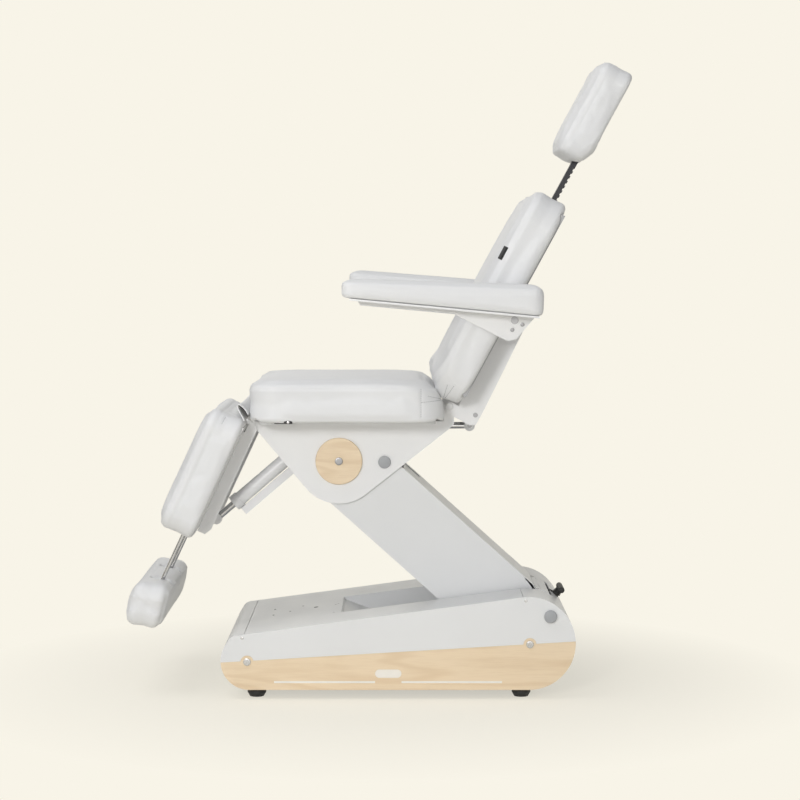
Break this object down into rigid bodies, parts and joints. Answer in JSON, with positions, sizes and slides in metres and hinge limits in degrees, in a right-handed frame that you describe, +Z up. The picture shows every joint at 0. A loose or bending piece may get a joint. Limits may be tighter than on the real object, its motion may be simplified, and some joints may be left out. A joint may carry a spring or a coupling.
{
  "type": "electric treatment chair",
  "caption": "Electric treatment chair: wood-sided base with foot pedal, tilting lift arm, adjustable seat, back, leg and foot rests, armrests and sliding headrest.",
  "frame": {"origin": "centre of the footprint box at floor height", "axes": "+X towards the head end, +Y towards the far side, +Z up"},
  "size_m": [1.264, 0.74, 1.5861],
  "materials": {
    "upholstery": "soft satin white upholstery",
    "board": "matt black board",
    "frame_paint": "satin light grey powder coat",
    "cover_paint": "satin off-white powder coat",
    "maple": "clear satin varnish",
    "inlay": "satin",
    "bright_steel": "bright",
    "chrome": "polished",
    "grey_plastic": "satin",
    "black_plastic": "satin",
    "black_rubber": "matt",
    "dark_metal": "matt",
    "label_black": "matt"
  },
  "bodies": {
    "root": {"base_top_cover": "cover_paint", "base_front_cap": "cover_paint", "base_rear_cap": "cover_paint", "pedal_bush": "black_rubber", "base_screws": "bright_steel", "base_shaft_caps": "grey_plastic", "wood_side_near": "maple", "wood_side_far": "maple", "panel_inlays": "inlay", "base_chassis": "dark_metal", "rubber_feet": "black_rubber", "foot_studs": "bright_steel", "well_liner": "cover_paint", "control_box": "black_plastic", "lift_actuator": "black_plastic", "base_shafts": "bright_steel"},
    "pedal": {"foot_pedal": "black_rubber"},
    "lift_rod": {"lift_rod": "chrome"},
    "lift_arm": {"lift_arm": "frame_paint", "crank_pin": "bright_steel", "arm_bushes": "black_plastic"},
    "tie": {"tie_rod": "frame_paint"},
    "carrier": {"carrier_plate_near": "frame_paint", "carrier_plate_far": "frame_paint", "carrier_cross_bars": "frame_paint", "carrier_bracket": "frame_paint", "carrier_pins": "bright_steel", "hinge_pins": "grey_plastic", "wood_discs": "maple", "carrier_caps": "bright_steel", "seat_board": "board", "seat_cushion": "upholstery", "seat_catches": "grey_plastic"},
    "leg_tube": {"leg_actuator_tube": "frame_paint", "leg_actuator_rail": "dark_metal"},
    "leg_rod": {"leg_actuator_rod": "chrome"},
    "leg": {"leg_frame": "frame_paint", "leg_board": "board", "leg_cushion": "upholstery"},
    "foot": {"foot_rods": "chrome", "foot_plate": "board", "foot_cushion": "upholstery"},
    "back": {"back_frame": "frame_paint", "back_fixings": "bright_steel", "back_board": "board", "back_cushion": "upholstery", "back_tag": "label_black", "head_socket": "black_plastic", "armrest_shaft": "bright_steel"},
    "back_tube": {"back_actuator_tube": "frame_paint"},
    "back_rod": {"back_actuator_rod": "chrome"},
    "head": {"head_bar": "chrome", "head_board": "board", "head_cushion": "upholstery"},
    "armrest_near": {"armrest_bracket_near": "frame_paint", "armrest_pad_near": "upholstery", "armrest_screws_near": "bright_steel"},
    "armrest_far": {"armrest_bracket_far": "frame_paint", "armrest_pad_far": "upholstery", "armrest_screws_far": "bright_steel"}
  },
  "joints": [
    {"name": "lift", "type": "hinge", "parent": "root", "child": "lift_arm", "pos_m": [0.3075, 0, 0.2097], "axis": [0, 1, 0], "range_deg": [-29.9, 5]},
    {"name": "carrier_level", "type": "hinge", "parent": "lift_arm", "child": "carrier", "pos_m": [-0.10582, 0, 0.58055], "axis": [0, 1, 0], "range_deg": [-5, 29.9]},
    {"name": "tie_swing", "type": "hinge", "parent": "root", "child": "tie", "pos_m": [0.4233, 0, 0.2072], "axis": [0, 1, 0], "range_deg": [-29.9, 5]},
    {"name": "lift_stroke", "type": "slide", "parent": "root", "child": "lift_rod", "axis": [1, 0, 0], "range_m": [-0.0105, 0.06]},
    {"name": "leg", "type": "hinge", "parent": "carrier", "child": "leg", "pos_m": [-0.3316, 0, 0.6879], "axis": [0, 1, 0], "range_deg": [-10, 66]},
    {"name": "leg_tube_swing", "type": "hinge", "parent": "carrier", "child": "leg_tube", "pos_m": [-0.176, 0, 0.635], "axis": [0, 1, 0], "range_deg": [-7.5, 46]},
    {"name": "leg_rod_swing", "type": "hinge", "parent": "leg", "child": "leg_rod", "pos_m": [-0.42705, 0, 0.42004], "axis": [0, 1, 0], "range_deg": [-21.5, 4]},
    {"name": "foot_slide", "type": "slide", "parent": "leg", "child": "foot", "axis": [-0.4226, 0, -0.9063], "range_m": [-0.11, 0.05]},
    {"name": "back", "type": "hinge", "parent": "carrier", "child": "back", "pos_m": [0.174, 0, 0.72], "axis": [0, 1, 0], "range_deg": [0, 60]},
    {"name": "back_tube_swing", "type": "hinge", "parent": "carrier", "child": "back_tube", "pos_m": [-0.154, 0.062, 0.655], "axis": [0, 1, 0], "range_deg": [-0.5, 5.5]},
    {"name": "back_rod_swing", "type": "hinge", "parent": "back", "child": "back_rod", "pos_m": [0.2314, 0.062, 0.6582], "axis": [0, 1, 0], "range_deg": [-56.5, 0.5]},
    {"name": "head_slide", "type": "slide", "parent": "back", "child": "head", "axis": [0.4787, 0, 0.878], "range_m": [-0.09, 0.06]},
    {"name": "armrest_near", "type": "hinge", "parent": "back", "child": "armrest_near", "pos_m": [0.33138, 0, 0.94285], "axis": [0, 1, 0], "range_deg": [-60, 100]},
    {"name": "armrest_far", "type": "hinge", "parent": "back", "child": "armrest_far", "pos_m": [0.33138, 0, 0.94285], "axis": [0, 1, 0], "range_deg": [-62.6, 97.4]},
    {"name": "pedal", "type": "hinge", "parent": "root", "child": "pedal", "pos_m": [0.4461, 0, 0.21953], "axis": [0, 1, 0], "range_deg": [-8, 8], "stiffness_Nm_per_rad": 4}
  ],
  "couplings": [
    {"joint": "carrier_level", "follows": "lift", "ratio": -1},
    {"joint": "tie_swing", "follows": "lift", "ratio": 1},
    {"joint": "lift_stroke", "follows": "lift", "m_per_rad": -0.1127},
    {"joint": "leg_tube_swing", "follows": "leg", "ratio": 0.684},
    {"joint": "leg_rod_swing", "follows": "leg", "ratio": -0.316},
    {"joint": "back_tube_swing", "follows": "back", "ratio": 0.077},
    {"joint": "back_rod_swing", "follows": "back", "ratio": -0.923}
  ]
}
